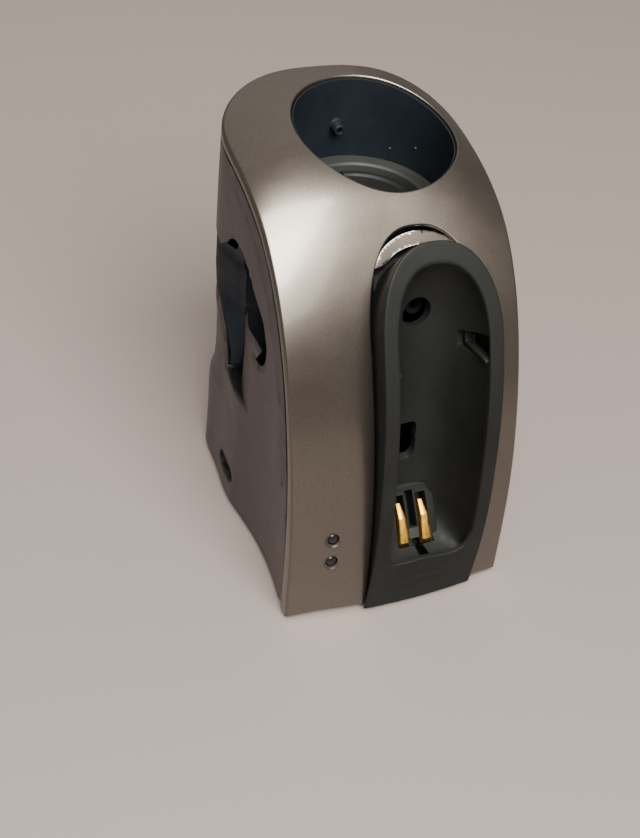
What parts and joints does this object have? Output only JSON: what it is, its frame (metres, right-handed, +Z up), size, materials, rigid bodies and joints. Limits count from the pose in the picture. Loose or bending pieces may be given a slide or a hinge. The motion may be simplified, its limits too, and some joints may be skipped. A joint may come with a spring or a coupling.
{
  "type": "grooming device charging stand",
  "caption": "Upright charging and refill stand for a hand-held groomer: front cradle with sprung contacts, open bottle well in the top, mains inlet at the side.",
  "frame": {"origin": "middle of the whole stand, on the surface it rests on", "axes": "+X to the right as seen from the front, +Y to the back, +Z up; the cradle faces -Y"},
  "size_m": [0.0812, 0.1216, 0.1387],
  "materials": {
    "silver": "satin champagne silver lacquer on plastic",
    "housing": "satin warm grey-purple pearl lacquer",
    "navy": "semi-matte blue-black plastic",
    "dark": "fine matte charcoal plastic",
    "pump": "plain natural plastic",
    "tube": "clear hose",
    "lens": "smoked polished plastic",
    "led": "tinted clear plastic",
    "board": "printed circuit laminate",
    "copper": "wound enamelled wire",
    "steel": "plain",
    "wire": "insulated wire",
    "gold": "gold plating",
    "foot": "matte rubber"
  },
  "bodies": {
    "stand": {"front_shell": "silver", "rear_housing": "housing", "bottle_guard": "navy", "well_liner": "navy", "locating_nub": "navy", "cradle": "dark", "contact_block": "dark", "contact_bridge": "dark", "base_plate": "dark", "inlet_body": "dark", "refill_nozzle": "dark", "refill_pump": "pump", "dosing_tube": "tube", "light_guide_upper": "lens", "light_guide_lower": "lens", "led_upper": "led", "led_lower": "led", "circuit_board": "board", "charging_coil": "copper", "coil_core": "steel", "inlet_pin_front": "steel", "inlet_pin_rear": "steel", "platform_spring": "steel", "supply_wire_front": "wire", "supply_wire_rear": "wire", "foot_1": "foot", "base_screw_1": "steel", "foot_2": "foot", "base_screw_2": "steel", "foot_3": "foot", "base_screw_3": "steel", "foot_4": "foot", "base_screw_4": "steel"},
    "contact_left_body": {"contact_left": "gold"},
    "contact_right_body": {"contact_right": "gold"},
    "crescent_key_body": {"crescent_key": "silver"},
    "latch_left_body": {"latch_left": "dark"},
    "latch_right_body": {"latch_right": "dark"},
    "well_platform_body": {"well_platform": "dark"}
  },
  "joints": [
    {"name": "contact_left_spring", "type": "hinge", "parent": "stand", "child": "contact_left_body", "pos_m": [0.0034, -0.0409, 0.02916], "axis": [1, 0, 0], "range_deg": [0, 6], "stiffness_Nm_per_rad": 0.13, "springref_deg": -1.15},
    {"name": "contact_right_spring", "type": "hinge", "parent": "stand", "child": "contact_right_body", "pos_m": [0.0116, -0.0409, 0.02916], "axis": [1, 0, 0], "range_deg": [0, 6], "stiffness_Nm_per_rad": 0.13, "springref_deg": -1.15},
    {"name": "crescent_key_press", "type": "slide", "parent": "stand", "child": "crescent_key_body", "axis": [0, 0.7234, -0.6904], "range_m": [0, 0.0015], "stiffness_N_per_m": 900, "springref_m": -0.0003},
    {"name": "latch_left_swing", "type": "hinge", "parent": "stand", "child": "latch_left_body", "pos_m": [-0.0083, -0.03143, 0.09057], "axis": [0, -0.4067, -0.9135], "range_deg": [0, 8], "stiffness_Nm_per_rad": 0.05, "springref_deg": -1.72},
    {"name": "latch_right_swing", "type": "hinge", "parent": "stand", "child": "latch_right_body", "pos_m": [0.0233, -0.03143, 0.09057], "axis": [0, 0.4067, 0.9135], "range_deg": [0, 8], "stiffness_Nm_per_rad": 0.05, "springref_deg": -1.72},
    {"name": "platform_press", "type": "slide", "parent": "stand", "child": "well_platform_body", "axis": [0, 0, -1], "range_m": [0, 0.004], "stiffness_N_per_m": 700, "springref_m": -0.0012, "deforming": ["platform_spring"]}
  ]
}
